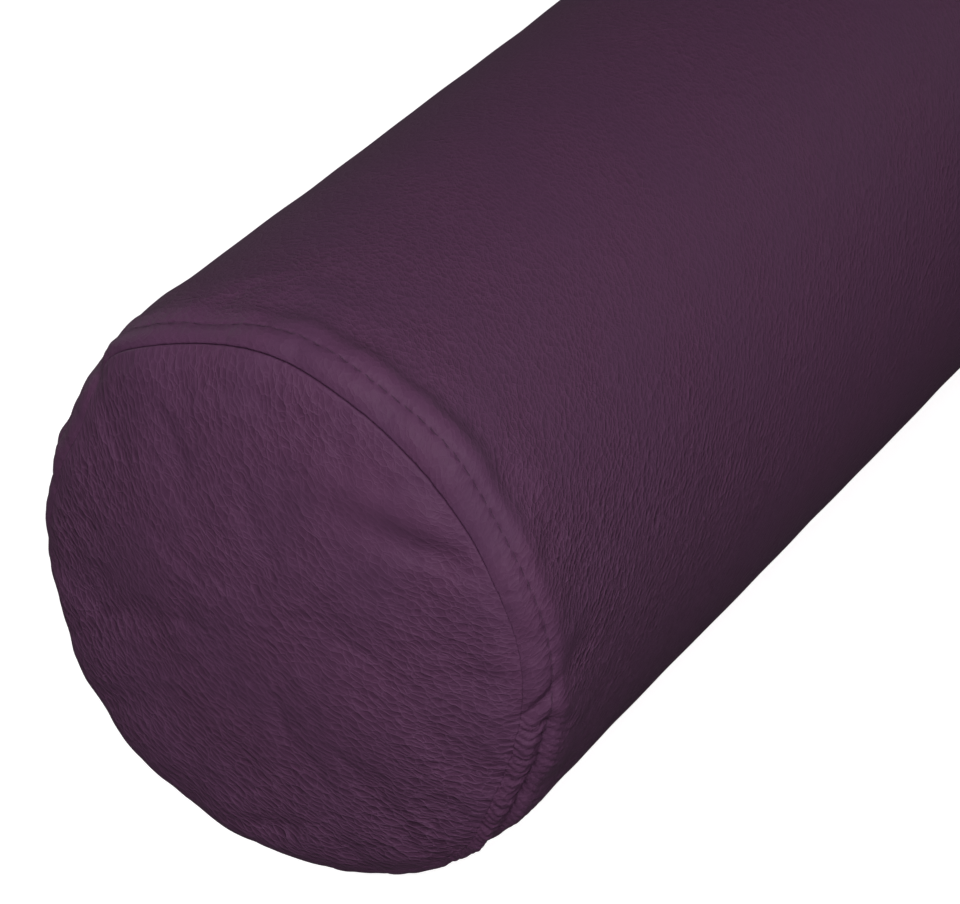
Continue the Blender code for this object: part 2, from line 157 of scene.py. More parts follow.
# SEAM_M is the seam's place along the meridian. On the tube, depth in from the end is s + TUBE_OFFSET.
SEAM_M = float(np.interp(SEAM_R, MERIDIAN[2][:4000], MERIDIAN[0][:4000]))
TUBE_OFFSET = float(np.interp(SEAM_M + 100, MERIDIAN[0], MERIDIAN[1])) - 100


def on_meridian(m):
    """(depth in, radius, outward part along the end, outward part from the axis) at a distance m."""
    return [np.interp(m, MERIDIAN[0], column) for column in MERIDIAN[1:]]


def cloth_grid(seed):
    """The leather of one end as a coarse open sheet a little inside its filled shape, with its rows
    running round: over the disc, the seam at row GRID_INSIDE, then the corner and the tube."""
    m = SEAM_M + GRID * (np.arange(GRID_ROWS) - GRID_INSIDE)
    angle = 2 * pi * np.arange(GRID_ROUND) / GRID_ROUND
    depth, r, out_x, out_r = (column[:, None] for column in on_meridian(m))
    normal = np.stack(np.broadcast_arrays(-out_x, -out_r * np.sin(angle), out_r * np.cos(angle)), axis=-1)
    filled = np.stack(np.broadcast_arrays(depth - END_X, -r * np.sin(angle), r * np.cos(angle)), axis=-1)
    start = -0.8 + np.random.default_rng(seed).normal(0, 0.12, normal.shape[:2])
    return filled, normal, filled + normal * start[..., None]


def crease_field(seed):
    """How the leather creases when it is blown tight from inside while the seam and the topstitch draw
    it together, as distances out from the filled shape on the coarse grid."""
    filled, normal, start = cloth_grid(seed)
    ids = np.arange(GRID_ROWS * GRID_ROUND).reshape(GRID_ROWS, GRID_ROUND)
    around = np.roll(ids, -1, axis=1)
    faces = np.stack([ids[:-1], around[:-1], around[1:], ids[1:]], axis=-1).reshape(-1, 4)
    mesh = bpy.data.meshes.new("leather_blank")
    mesh.from_pydata((start.reshape(-1, 3) * MILLI).tolist(), [], faces.tolist())
    blank = bpy.data.objects.new("leather_blank", mesh)
    bpy.context.scene.collection.objects.link(blank)
    held = blank.vertex_groups.new(name="held")
    held.add(ids[[0, -2, -1]].ravel().tolist(), 1.0, "REPLACE")
    gathered = blank.vertex_groups.new(name="gathered")
    for row, weight in enumerate((0.25, 0.55, 1.0, 0.5, 0.85, 0.3), GRID_INSIDE - 2):
        gathered.add(ids[row].tolist(), weight, "REPLACE")

    cloth = blank.modifiers.new("Cloth", "CLOTH")
    cloth.point_cache.frame_end = CLOTH_FRAMES
    cloth.collision_settings.use_collision = False
    settings = cloth.settings
    settings.quality = 6
    settings.bending_stiffness = 0.5
    settings.air_damping = 2.0
    settings.use_pressure = True
    settings.uniform_pressure_force = 4.0
    settings.effector_weights.gravity = 0.0
    settings.vertex_group_mass = held.name
    settings.vertex_group_shrink = gathered.name
    settings.shrink_min = -0.02
    settings.shrink_max = 0.05
    for frame_number in range(1, CLOTH_FRAMES + 1):
        bpy.context.scene.frame_set(frame_number)
    result = blank.evaluated_get(bpy.context.evaluated_depsgraph_get()).to_mesh()
    points = np.empty(ids.size * 3)
    result.vertices.foreach_get("co", points)
    bpy.data.objects.remove(blank)
    bpy.context.scene.frame_set(1)

    out = ((points.reshape(filled.shape) / MILLI - filled) * normal).sum(axis=-1)
    creases = out - out.mean(axis=1, keepdims=True)
    return CREASE_CAP * np.tanh(creases / CREASE_CAP)


def spline_weights(t):
    return (1 - t) ** 3 / 6, (3 * t**3 - 6 * t**2 + 4) / 6, (1 + 3 * t + 3 * t**2 - 3 * t**3) / 6, t**3 / 6


def read_field(field, s, angle):
    """The smooth value of a coarse field at distance s from the seam and this angle."""
    s, angle = np.broadcast_arrays(np.asarray(s, float), angle)
    row = np.clip(s / GRID + GRID_INSIDE, 1, GRID_ROWS - 2.001)
    column = angle / (2 * pi) * GRID_ROUND
    first_row, first_column = np.floor(row).astype(int), np.floor(column).astype(int)
    total = 0.0
    for i, across in enumerate(spline_weights(row - first_row), -1):
        for j, round_it in enumerate(spline_weights(column - first_column), -1):
            total = total + across * round_it * field[first_row + i, (first_column + j) % GRID_ROUND]
    return total


class SewnEnd:
    """One end of the bolster. s is the distance from the end seam, over the corner and along the tube,
    or across the disc where it is negative."""

    def __init__(self, side, seed, loose, shifts, settling, sinks):
        rng = np.random.default_rng(seed)
        self.side = side
        self.loose_from, self.loose_to = radians(loose[0]), radians(loose[1])
        self.shifts, self.settling, self.sinks = shifts, settling, sinks
        self.creases = crease_field(seed)
        self.slack = waves(5, (1, 5), (90, 200), seed)
        self.wander = waves(6, (3, 11), (90, 200), seed + 1)
        self.stitch_depth = waves(7, (20, 60), (90, 200), seed + 2)
        count = 58
        steps = rng.uniform(0.6, 1.4, count)
        spots = np.cumsum(steps) / steps.sum() * 2 * pi
        depths = rng.uniform(0.04, 0.24, count) + 0.30 * self.looseness(spots)
        widths = rng.uniform(1.1, 1.8, count)
        leans = rng.uniform(-0.3, 0.3, count)
        self.puckers = list(zip(spots, depths, widths, leans))

    def looseness(self, angle):
        """1 where the disc has more leather than the seam can take, so that the band bunches into lobes."""
        past = (angle - self.loose_from) % (2 * pi)
        width = self.loose_to - self.loose_from
        return smooth(0, radians(4), past) * (1 - smooth(width, width + radians(10), past))

    def lobes(self, angle, s):
        """Height of the bunched lobes: round backs and fine wrinkles that hang in bows across the band."""
        bow = 2.0 * np.clip(s, -3, 9) / 7 - 2.6 * np.sin(pi * np.clip(s / TOPSTITCH_S, 0, 1))
        along = turn_between(angle, self.loose_from) * RADIUS
        phase = (along + bow + 2.4 * swell(self.wander, angle, 0.0)) / LOBE + 0.4
        softer = 1.2 * bump(s, 2.5)
        back = np.abs(np.sin(pi * phase)) ** (0.7 + softer)
        wrinkle = np.abs(np.sin(pi * (4.6 * phase + 0.15 * np.sin(2 * pi * phase)))) ** (0.8 + softer)
        flatter = bump(s, 3.2)
        height = (0.85 - 0.38 * flatter) * back + 0.34 * wrinkle - 0.75 + 0.47 * flatter
        return self.looseness(angle) * height

    def pulls(self, angle, s):
        """Fine ridges that each stitch draws from the bunched lobes into the leather on both sides."""
        along = turn_between(angle, self.loose_from) * RADIUS
        across = (along - 0.45 * np.abs(s)) / PULL + 0.4 * swell(self.wander, angle, s)
        ridge = np.abs(np.sin(pi * across)) ** 0.8
        return self.looseness(angle) * ridge * (0.20 * bump(s + 2.5, 7.0) + 0.26 * bump(s - 11.0, 4.5))

    def pressed(self, angle):
        """1 where the seam's groove is pressed shut, which is beside and over the bunched stretch."""
        past = turn_between(angle, self.loose_from)
        return smooth(radians(-52), radians(-14), past) * (1 - smooth(radians(55), radians(75), past))

    def gather(self, angle, s):
        """Depth of the folds that the seam's thread pulls into the leather beside it."""
        depth = 0.0
        for spot, deep, width, lean in self.puckers:
            across = turn_between(angle, spot) * RADIUS - lean * s
            depth = depth + deep * (bump(across, width) - 0.5 * bump(across, 2.4 * width))
        return depth

    def seam_m(self, angle):
        """Where the seam lies. The cover has slipped round the filling, so it sits further over the
        corner on one side and further in on the other."""
        slipped = 0.0
        for shift, turn, width in self.shifts:
            slipped = slipped + shift * near(angle, turn, width)
        waved = 0.3 * swell(self.wander, angle, 0.0) - 0.5 * self.lobes(angle, 0.0)
        return SEAM_M + slipped + waved + 0.5 * self.gather(angle, 0.0)

    def stitch_s(self, angle):
        """How far behind the seam the topstitch runs."""
        wider = 1.1 * near(angle, 34, 32)
        return TOPSTITCH_S + wider + 0.25 * swell(self.wander, angle, 0.0) + 0.25 * self.lobes(angle, 7.0)

    def settle(self, angle, m):
        """How the filling has moved: (out of the end, out from the axis)."""
        on_tube = 1 - smooth(SEAM_M + 3, SEAM_M + 38, m)
        pushed, pinched = 0.0, 0.0
        for push, pinch, turn, width in self.settling:
            share = near(angle, turn, width) * on_tube
            pushed = pushed + push * share * smooth(40, 66, m)
            pinched = pinched + pinch * share * smooth(20, 62, m)
        return pushed, pinched

    def crumple(self, angle, s):
        return CREASE_SHARE * read_field(self.creases, s, angle) * (1 - smooth(28, 60, s))

    def sunk(self, angle, s):
        """Places along the seam that are pulled down or stand up: (height, s, angle, length, width, lean)."""
        total = 0.0
        for height, spot, turn, long, wide, lean in self.sinks:
            around = turn_between(angle, radians(turn)) * RADIUS + lean * (s - spot)
            total = total + height * bump(s - spot, wide) * bump(around, long)
        return total

    def tube_lift(self, angle, s):
        """How far the tube's leather stands out from the plain filled shape."""
        loose = 0.6 + 0.4 * swell(self.slack, angle, s)
        line = self.stitch_s(angle)
        from_line = s - line
        per_stitch = angle * STITCHES_ROUND
        uneven = 1 + 0.25 * swell(self.stitch_depth, angle, s)
        bunched = self.looseness(angle)
        over_band = np.sin(pi * np.clip(s / line, 0, 1))
        over_seam = 0.5 * bump(s, 2.5)
        puff = 0.26 * over_band**0.7 + self.lobes(angle, s) * np.maximum(over_band**0.5, over_seam)
        puff = puff - (0.35 - 0.25 * self.pressed(angle)) * bump(s, 1.7)
        pull = (0.24 - 0.18 * np.cos(per_stitch)) * uneven * bump(from_line, 0.42)
        scallop = 0.30 * (0.1 + bunched) * np.cos(per_stitch) * bump(from_line + 1.4, 1.3)
        dip = (0.32 + 0.7 * bunched) * uneven * bump(from_line, 1.7) - scallop
        rise = 1.2 * bunched * smooth(-4, 0, from_line) * (1 - smooth(0, 11, from_line))
        hollow = 0.9 * bunched * bump(s - 3.5, 5.5)
        bulge = 0.9 * loose * (1 - bunched) * bump(from_line - 4.0, 2.8)
        valley = 0.9 * loose * (1 - bunched) * bump(from_line - 10.5, 4.6)
        folds = self.gather(angle, s) * (bump(s - 2.0, 3.8) + 0.4 * bump(s - 10.0, 3.4))
        relief = self.pulls(angle, s) + self.sunk(angle, s) + self.crumple(angle, s)
        return puff - pull - dip - rise - hollow + bulge - valley - folds + relief

    def disc_lift(self, angle, s, r):
        """How far the disc's leather stands out from the plain filled shape."""
        broad = 0.5 * swell(self.slack, angle, 0.0) * (r / SEAM_R) ** 2 * (1 - bump(s, 12))
        ring = 0.35 * bump(s + 6.0, 3.0) * (0.7 + 0.5 * swell(self.wander, angle, 0.0))
        folds = self.gather(angle, s) * (bump(s - 2.0, 3.8) + 0.35 * bump(s + 7.0, 4.5))
        inside = 1 - bump(s, 3.0)
        hollow = 0.9 * self.looseness(angle) * bump(s - 3.5, 5.5) - 0.5 * self.lobes(angle, s) * bump(s, 2.5)
        edge = 0.10 * self.pressed(angle) * bump(s, 1.7)
        relief = self.pulls(angle, s) + self.sunk(angle, s) + self.crumple(angle, s)
        relief = relief + inside * self.dents(angle, r)
        return broad + ring - folds - hollow - edge + relief

    def smoothness(self, angle, s):
        """How far the grain of the tube is pulled smooth, from 1 to below 0 where it is bunched and deep."""
        lower = bump(turn_between(angle, self.loose_from + radians(10)), radians(40))
        upper = 0.6 * near(angle, -25, 24)
        pulled = 0.66 * (1 - smooth(8, 19, s)) * (1 - 0.6 * lower - upper * smooth(5, 9, s))
        deep = 1.9 * lower * (1 - smooth(40, 140, s)) * smooth(9, 19, s)
        return pulled - deep + 0.42 * smooth(20, 110, s) * (1 - lower)

    def disc_smoothness(self, angle, s, r):
        """The same for the disc: smooth over its fullest swell, deep-grained low down and at its back rim."""
        across = r * np.sin(angle) - 34
        up = r * np.cos(angle) - 44
        stretched = 0.9 * np.exp(-((across / 20) ** 2) - (up / 15) ** 2)
        lower = near(angle, 150, 60) * smooth(25, 60, r)
        back_rim = near(angle, -95, 45) * smooth(38, 62, r)
        return np.maximum(stretched, 0.5 * bump(s, 4.0)) - 1.2 * lower - back_rim

    def dents(self, angle, r):
        """Soft hollows and swells: (angle, radius, height, half-width, half-length, way it runs)."""
        across_disc, up_disc = r * np.sin(angle), r * np.cos(angle)
        total = 0.0
        for turn, reach, height, wide, long, way in DISC_DENTS[self.side]:
            a = across_disc - reach * sin(radians(turn))
            b = up_disc - reach * cos(radians(turn))
            c, s = cos(radians(way)), sin(radians(way))
            total = total + height * np.exp(-(((a * c + b * s) / long) ** 2) - ((b * c - a * s) / wide) ** 2)
        return total


DISC_DENTS = {
    -1: (
        (50, 56, -1.6, 4.4, 15, -12),
        (38, 56, 1.3, 6.0, 17, -14),
        (62, 58, 0.7, 4.0, 12, -10),
        (-105, 55, -1.4, 6.0, 11, 70),
        (-131, 62, -1.3, 4.5, 9, 30),
        (178, 61, -1.4, 3.6, 13, 18),
        (165, 60, 0.8, 4.0, 12, 18),
        (120, 45, 0.7, 12.0, 20, 10),
        (-60, 30, 0.8, 16.0, 24, -40),
    ),
    1: (
        (60, 50, -1.1, 5.0, 14, 35),
        (-40, 52, 1.0, 7.0, 16, 10),
        (150, 56, -1.2, 4.5, 12, -20),
        (-140, 40, 0.7, 14.0, 20, 50),
    ),
}

# Angles are in degrees. Loose is from where to where the disc is bunched. Seam shifts are (shift, angle,
# half-width), and settling is (push, pinch, angle, half-width).
LEFT = SewnEnd(
    side=-1,
    seed=11,
    loose=(91.5, 139),
    shifts=(
        (6.8, 225, 78), (-2.2, 50, 30), (-3.2, 108, 26), (-3.6, -72, 22),
        (2.4, -43, 9), (1.2, 0, 16), (2.8, 138, 13),
    ),
    settling=(
        (2.6, 0.0, -158, 46), (0.0, -5.0, -84, 34), (0.0, -3.0, -58, 10),
        (0.0, -0.6, 158, 13), (0.0, 1.2, -38, 22),
    ),
    sinks=(
        (-1.8, 4.5, 90, 2.4, 4.0, 1.1),
        (-1.7, 6.5, -22, 22.0, 4.6, 0.0),
        (0.9, 22.0, -36, 26.0, 16.0, 0.0),
        (-1.3, 2.5, -47, 4.0, 5.0, 0.0),
        (0.5, 12.0, 40, 30.0, 4.0, 0.0),
    ),
)
RIGHT = SewnEnd(
    side=1,
    seed=23,
    loose=(205, 232),
    shifts=((3.0, 160, 80), (-1.5, -30, 40)),
    settling=((2.0, 0.0, 160, 50), (0.0, -1.6, -80, 40)),
    sinks=((-1.4, 5.0, 201, 2.6, 4.0, 0.9), (-1.0, 6.5, 60, 18.0, 4.6, 0.0)),
)
TUBE_SWELL = waves(9, (0, 5), (70, 260), 5)
TUBE_CREASE = waves(6, (4, 12), (25, 60), 6)


def long_lift(angle, x):
    fade = 1 - np.exp(-(((END_X - np.abs(x)) / 22) ** 2))
    return fade * (0.15 * swell(TUBE_SWELL, angle, x) + 0.06 * swell(TUBE_CREASE, angle, x))


def placed(x, r, angle):
    """Points at an angle round the axis, measured from the top towards the front, on the resting plane."""
    y = -r * np.sin(angle)
    z = AXIS_HEIGHT + r * np.cos(angle)
    rest = 0.5 * (z + np.sqrt(z * z + 0.5))
    return np.stack([x, y, rest], axis=-1)


def raised(end, m, out, angle):
    """The point at m along the filled end's meridian and this far out from it."""
    depth, r, out_x, out_r = on_meridian(m)
    push, pinch = end.settle(angle, m)
    radius = r + out_r * out + pinch
    held_out = np.clip(FOAM_LIMIT + np.minimum(out, 0) - radius, 0, None) * smooth(5, 11, depth)
    return placed(end.side * (END_X - depth + out_x * out + push), radius + held_out, angle)


def disc_point(end, s, angle, out):
    """A point of the disc's leather, this far out from it, and its radius."""
    m = end.seam_m(angle) * (1 + s / SEAM_M)
    r = on_meridian(m)[1]
    return raised(end, m, end.disc_lift(angle, s, r) + out, angle), r


def tube_point(end, s, angle, out=0.0):
    """A point of the tube's leather near one end, and this far out from it."""
    settle = 1 - smooth(0, 60, s)
    m = SEAM_M + (end.seam_m(angle) - SEAM_M) * settle + s
    depth = on_meridian(m)[0]
    lift = end.tube_lift(angle, s) + long_lift(angle, end.side * (END_X - depth))
    return raised(end, m, lift + out, angle)


def tube_at(x, angle, out):
    """A point of the tube's leather at x along the bolster, away from its corners."""
    s = END_X - TUBE_OFFSET - np.abs(x)
    left, right = tube_point(LEFT, s, angle, out), tube_point(RIGHT, s, angle, out)
    return np.where((x < 0)[..., None], left, right)


# ---------------- mesh making


class Sheet:
    """A mesh made of rows of points. A row may hold every point of its neighbour or only some of them."""

    def __init__(self):
        self.points, self.marks, self.faces, self.count = [], [], [], 0
        self.last = None

    def row(self, points, marks, columns, closed=False, flip=False):
        ids = np.arange(self.count, self.count + len(points))
        self.points.append(points)
        self.marks.append(marks)
        self.count += len(points)
        if closed:
            ids = np.append(ids, ids[0])
            columns = np.append(columns, columns[-1] + (columns[1] - columns[0]))
        if self.last is not None:
            self.join(*self.last, ids, columns, flip)
        self.last = (ids, columns)

    def join(self, ids_a, columns_a, ids_b, columns_b, flip):
        if len(ids_a) == len(ids_b):
            quads = np.stack([ids_a[:-1], ids_a[1:], ids_b[1:], ids_b[:-1]], axis=1)
            self.faces += (quads[:, ::-1] if flip else quads).tolist()
            return
        dense_first = len(ids_a) > len(ids_b)
        dense, dense_columns, few, few_columns = (
            (ids_a, columns_a, ids_b, columns_b) if dense_first else (ids_b, columns_b, ids_a, columns_a)
        )
        spots = np.searchsorted(dense_columns, few_columns - 1e-6)
        for i in range(len(few) - 1):
            between = dense[spots[i] : spots[i + 1] + 1].tolist()
            face = between + [int(few[i + 1]), int(few[i])]
            if dense_first == flip:
                face.reverse()
            self.faces.append(face)

    def fan(self, tip, mark, flip):
        """Closes the last row on one point."""
        ids, _ = self.last
        self.points.append(tip)
        self.marks.append(mark)
        spokes = [[int(a), int(b), self.count] for a, b in zip(ids[:-1], ids[1:])]
        self.faces += [face[::-1] for face in spokes] if flip else spokes
        self.count += 1

    def finish(self, name, material):
        points = np.concatenate(self.points) * MILLI
        marks = np.concatenate(self.marks)
        mesh = bpy.data.meshes.new(name)
        mesh.from_pydata(points.tolist(), [], self.faces)
        skin = mesh.attributes.new("skin", "FLOAT_VECTOR", "POINT")
        skin.data.foreach_set("vector", marks.astype(np.float32).ravel())
        return mesh_object(name, mesh, material)


def mesh_object(name, mesh, material, angle=180):
    mesh.shade_smooth()
    if angle < 180:
        mesh.set_sharp_from_angle(angle=radians(angle))
    mesh.materials.append(material)
    obj = bpy.data.objects.new(name, mesh)
    bpy.context.scene.collection.objects.link(obj)
    return obj


def tube_columns():
    """(distance round from the zip line, roll angle, kept where the rows are coarse, side) for each
    column, which together run once round from one hem to the other."""
    half = pi * RADIUS
    fine = np.concatenate([np.linspace(0, 16, 41), np.linspace(16, half, 725)[1:]])
    keep = np.concatenate([np.ones(41, bool), np.arange(1, 725) % 4 == 0])
    rolls = np.linspace(pi, 0, 7)[:-1]
    under = np.linspace(HEM_UNDER, 0.8, 5)
    c = np.concatenate([-under, np.zeros(len(rolls)), fine])
    roll = np.concatenate([np.full(len(under), pi), rolls, np.zeros(len(fine))])
    kept = np.concatenate([np.ones(len(under) + len(rolls), bool), keep])
    sides = np.concatenate([np.ones(len(c)), -np.ones(len(c) - 1)])
    mirrored = [np.concatenate([half_way, half_way[::-1][1:]]) for half_way in (c, roll, kept)]
    return (*mirrored, sides)


def opening(x):
    """Half the width of the zip's opening at x: closed past its ends, with a tapered tip."""
    left = np.clip((OPENING_END - np.abs(x)) / OPENING_TAPER, 0, 1)
    return OPENING_HALF * np.sqrt(1 - (1 - left) ** 2)


def tube_rows():
    """(distance along from the seam, rise from the leather's face, coarse, side) for each row of the tube."""
    turn = np.linspace(0, pi / 2, 7)
    folded = [(SEAM_GAP, -TUBE_FOLD - 1.6), (SEAM_GAP, -TUBE_FOLD - 0.7)]
    folded += [(SEAM_GAP + TUBE_FOLD * (1 - cos(t)), TUBE_FOLD * (sin(t) - 1)) for t in turn]
    along = [np.arange(0.9, 13, 0.34), np.arange(13.3, 22, 0.6), np.arange(22.6, 36, 0.9)]
    near = folded + [(s, 0.0) for s in np.concatenate(along)]
    reach = near[-1][0] + 2.2
    tip = END_X - OPENING_END - TUBE_OFFSET
    before = np.arange(reach, tip - 2.5, 2.4)
    tips = np.arange(tip - 1.5, tip + 12, 0.7)
    far = np.concatenate([before, tips, np.arange(tip + 13, END_X - TUBE_OFFSET, 2.4)])
    rows = [(s, rise, False) for s, rise in near] + [(s, 0.0, True) for s in far]
    return [(*row, -1) for row in rows] + [(*row, 1) for row in rows[::-1]]


def zip_groove(c, x):
    """The row of stitches on each side of the zip pulls the leather down in a fine groove."""
    per_stitch = 2 * pi * x / STITCH
    ends = smooth(BARTACK_X + 2.0, BARTACK_X, np.abs(x))
    pull = (0.34 + 0.16 * np.cos(per_stitch)) * bump(c - ZIP_STITCH_C, 0.6)
    puff = 0.30 * bump(c - ZIP_STITCH_C / 2 - 2.2, 2.6)
    seam = 0.35 * bump(c, 2.2) * (1 - ends)
    return ends * (puff - pull) - seam


def folded_in(end, angle, s, rise, fold):
    """Where a row of the folded edge lies, as (s, rise). Where the seam is pressed shut, its groove is
    shallow and its edges touch."""
    shut = 0.8 * end.pressed(angle)
    inward = shut * max(0.0, 1 - abs(s) / (fold + SEAM_GAP))
    return s * (1 - inward), (1 - shut) * max(rise, -fold) + min(rise + fold, 0.0)


def grain_lean(angle):
    """How far along the tube its grain has leaned over by this angle. It leans most on the front."""
    return 0.75 * RADIUS * np.tanh((angle - radians(75)) / radians(50))


def make_tube(leather):
    c, roll, kept, sides = tube_columns()
    order = np.arange(len(c))
    sheet = Sheet()
    half = pi * RADIUS
    for s, rise, coarse, side in tube_rows():
        end = LEFT if side < 0 else RIGHT
        use = kept if coarse else np.ones(len(c), bool)
        cc, rr, sd = c[use], roll[use], sides[use]
        x = side * (END_X - on_meridian(SEAM_M + s)[0])
        edge = opening(x) + EDGE_ROLL * 0.62
        across = edge + np.clip(cc, 0, None) * (half - edge) / half
        across = np.where(rr > 0, edge - EDGE_ROLL * np.sin(rr), across)
        across = np.where(cc < 0, edge - cc, across)
        sink = np.where(rr > 0, EDGE_ROLL * (1 - np.cos(rr)), 0.0)
        angle = ZIP_ANGLE + sd * across / RADIUS
        beyond, lift = folded_in(end, angle, s, rise, TUBE_FOLD)
        points = tube_point(end, beyond, angle, lift + zip_groove(across, x) - sink)
        band = end.smoothness(angle, s) + 0.5 * bump(across, 7.0)
        round_from_zip = np.where(sd > 0, across, 2 * half - across)
        along = side * (END_X - TUBE_OFFSET - s) + grain_lean(ZIP_ANGLE + round_from_zip / RADIUS)
        sheet.row(points, np.stack([along, round_from_zip, band], axis=-1), order[use])
    return sheet.finish("cover_leather_tube", leather)


def swept_grain(angle, r):
    """Places on the disc's skin, whose grain sweeps across it in arcs: (distance from their centre,
    distance along them)."""
    across = r * np.sin(angle) - GRAIN_CENTRE[0]
    up = r * np.cos(angle) - GRAIN_CENTRE[1]
    reach = np.hypot(across, up)
    swept = np.arctan2(across, -up) + np.arctan2(GRAIN_CENTRE[0], GRAIN_CENTRE[1])
    return np.column_stack([reach + DISC_SKIN, swept * (0.75 * reach + 32)])


def make_disc(end, leather, name):
    sheet = Sheet()
    columns = np.arange(DISC_COLUMNS)
    turn = np.linspace(0, pi / 2, 7)
    rows = [(-SEAM_GAP, -DISC_FOLD - 1.2)]
    rows += [(-SEAM_GAP - DISC_FOLD * (1 - cos(t)), DISC_FOLD * (sin(t) - 1)) for t in turn]
    along = [np.arange(1.1, 14, 0.5), np.arange(14.8, 62, 1.1), np.arange(63.0, 70, 1.6)]
    rows += [(-s, 0.0) for s in np.concatenate(along)]
    for s, rise in rows:
        # Rows use fewer columns towards the middle, where columns crowd together.
        step = 1 if s > -7 else 2 if s > -24 else 4 if s > -48 else 8 if s > -60 else 32
        use = columns[::step]
        angle = 2 * pi * use / DISC_COLUMNS
        beyond, lift = folded_in(end, angle, s, rise, DISC_FOLD)
        points, r = disc_point(end, beyond, angle, lift)
        marks = np.column_stack([swept_grain(angle, r), end.disc_smoothness(angle, s, r)])
        sheet.row(points, marks, use, closed=True, flip=end.side < 0)
    middle = np.zeros(1)
    tip = disc_point(end, -SEAM_M, middle, 0.0)[0]
    sheet.fan(tip, np.column_stack([swept_grain(middle, middle), middle]), end.side < 0)
    return sheet.finish(name, leather)


def make_pad(end, fibre, name):
    """The fibre pad: it fills the end behind the disc's leather, and lies flat against the foam."""
    sheet = Sheet()
    columns = np.arange(96)
    angle = 2 * pi * columns / len(columns)
    front = [disc_point(end, s, angle, -2.4)[0] for s in (-69, -60, -50, -40, -30, -22, -15, -10, -6.5)]
    back_x = end.side * (END_X - 9.3)
    back = [placed(np.full(96, back_x), np.full(96, r), angle) for r in (66.5, 50, 34, 18, 4)]
    for points in front + back:
        sheet.row(points, points, columns, closed=True, flip=end.side > 0)
    return sheet.finish(name, fibre)


def make_wrap(fibre):
    """The fibre round the foam, lumpy under the cover and pressed flat where the zip lies on it."""
    sheet = Sheet()
    columns = np.arange(180)
    everywhere = np.ones(len(columns))
    angle = 2 * pi * columns / len(columns)
    near_zip = smooth(0.86, 0.93, np.cos(turn_between(angle, ZIP_ANGLE)))
    reach = END_X - 10
    outside = []
    for x in np.linspace(4 - reach, reach - 4, 150):
        below = -2.9 - 2.6 * near_zip + 0.4 * swell(TUBE_CREASE, angle, x)
        outside.append(tube_at(x * everywhere, angle, below))
    ends = [placed(x * everywhere, 69.6 * everywhere, angle) for x in (-reach, reach)]
    inside = [placed(x * everywhere, 69.3 * everywhere, angle) for x in np.linspace(reach, -reach, 30)]
    for points in [ends[0]] + outside + [ends[1]] + inside + [ends[0]]:
        sheet.row(points, points, columns, closed=True)
    return sheet.finish("fibre_wrap_lofty", fibre)


# ---------------- thread, coil and tapes


def unit(vectors):
    return vectors / np.linalg.norm(vectors, axis=-1, keepdims=True)


def swept(paths, radius, sides=8, squeeze=1.0):
    """One mesh of round strands. paths is (strand, point, xyz); squeeze flattens a strand's thickness."""
    paths = np.asarray(paths, float)
    ahead = unit(np.gradient(paths, axis=1))
    from_axis = (paths - (0, 0, AXIS_HEIGHT)) * (0, 1, 1)
    across = unit(np.cross(ahead, unit(from_axis)))
    out = np.cross(across, ahead)
    turn = 2 * pi * np.arange(sides) / sides
    cos_turn, sin_turn = np.cos(turn)[:, None], np.sin(turn)[:, None]
    ring = radius * (across[:, :, None] * cos_turn + squeeze * out[:, :, None] * sin_turn)
    points = paths[:, :, None] + ring
    strands, steps = paths.shape[:2]
    ids = np.arange(strands * steps * sides).reshape(strands, steps, sides)
    nxt = np.roll(ids, -1, axis=2)
    quads = np.stack([ids[:, :-1], ids[:, 1:], nxt[:, 1:], nxt[:, :-1]], axis=-1).reshape(-1, 4)
    faces = quads.tolist() + ids[:, 0].tolist() + ids[:, -1, ::-1].tolist()
    return points.reshape(-1, 3), faces


def strand_object(name, paths, radius, material, sides=8, squeeze=1.0):
    points, faces = swept(paths, radius, sides, squeeze)
    mesh = bpy.data.meshes.new(name)
    mesh.from_pydata((points * MILLI).tolist(), [], faces)
    return mesh_object(name, mesh, material, 70)


def stitch_arch():
    """(share along a stitch, height) of the thread from one needle hole to the next."""
    t = np.linspace(0, 1, 9)
    height = 0.14 - 0.85 * np.abs(2 * t - 1) ** 6
    return 0.04 + 0.92 * t, height


def ring_stitches(end, name, thread):
    share, height = stitch_arch()
    angle = 2 * pi * (np.arange(STITCHES_ROUND)[:, None] + share) / STITCHES_ROUND
    s = end.stitch_s(angle) + 0.38 * (share - 0.5) * end.side
    paths = tube_point(end, s, angle)
    paths = paths + (tube_point(end, s, angle, 1.0) - paths) * height[None, :, None]
    return strand_object(name, paths, THREAD, thread, squeeze=0.8)


def seam_thread(end, name, thread):
    """The thread of the end seam, in the folded edges just under the leather's face."""
    angle = np.linspace(0, 2 * pi, 721)
    depth = TUBE_FOLD + 1.0 + 0.25 * np.cos(angle * 180)
    return strand_object(name, tube_point(end, 0.05, angle, -depth)[None], 0.3, thread)


def straight_stitches(name, thread, start, finish, c):
    """Stitches along the bolster beside the zip, at a distance c round from the zip line."""
    share, height = stitch_arch()
    count = int((finish - start) / STITCH)
    x = start + STITCH * (np.arange(count)[:, None] + share)
    angle = np.full(x.shape, ZIP_ANGLE) + (c + 0.15 * (share - 0.5)) / RADIUS
    paths = tube_at(x, angle, zip_groove(np.abs(c), x) + height * 0.8)
    return strand_object(name, paths, THREAD, thread)


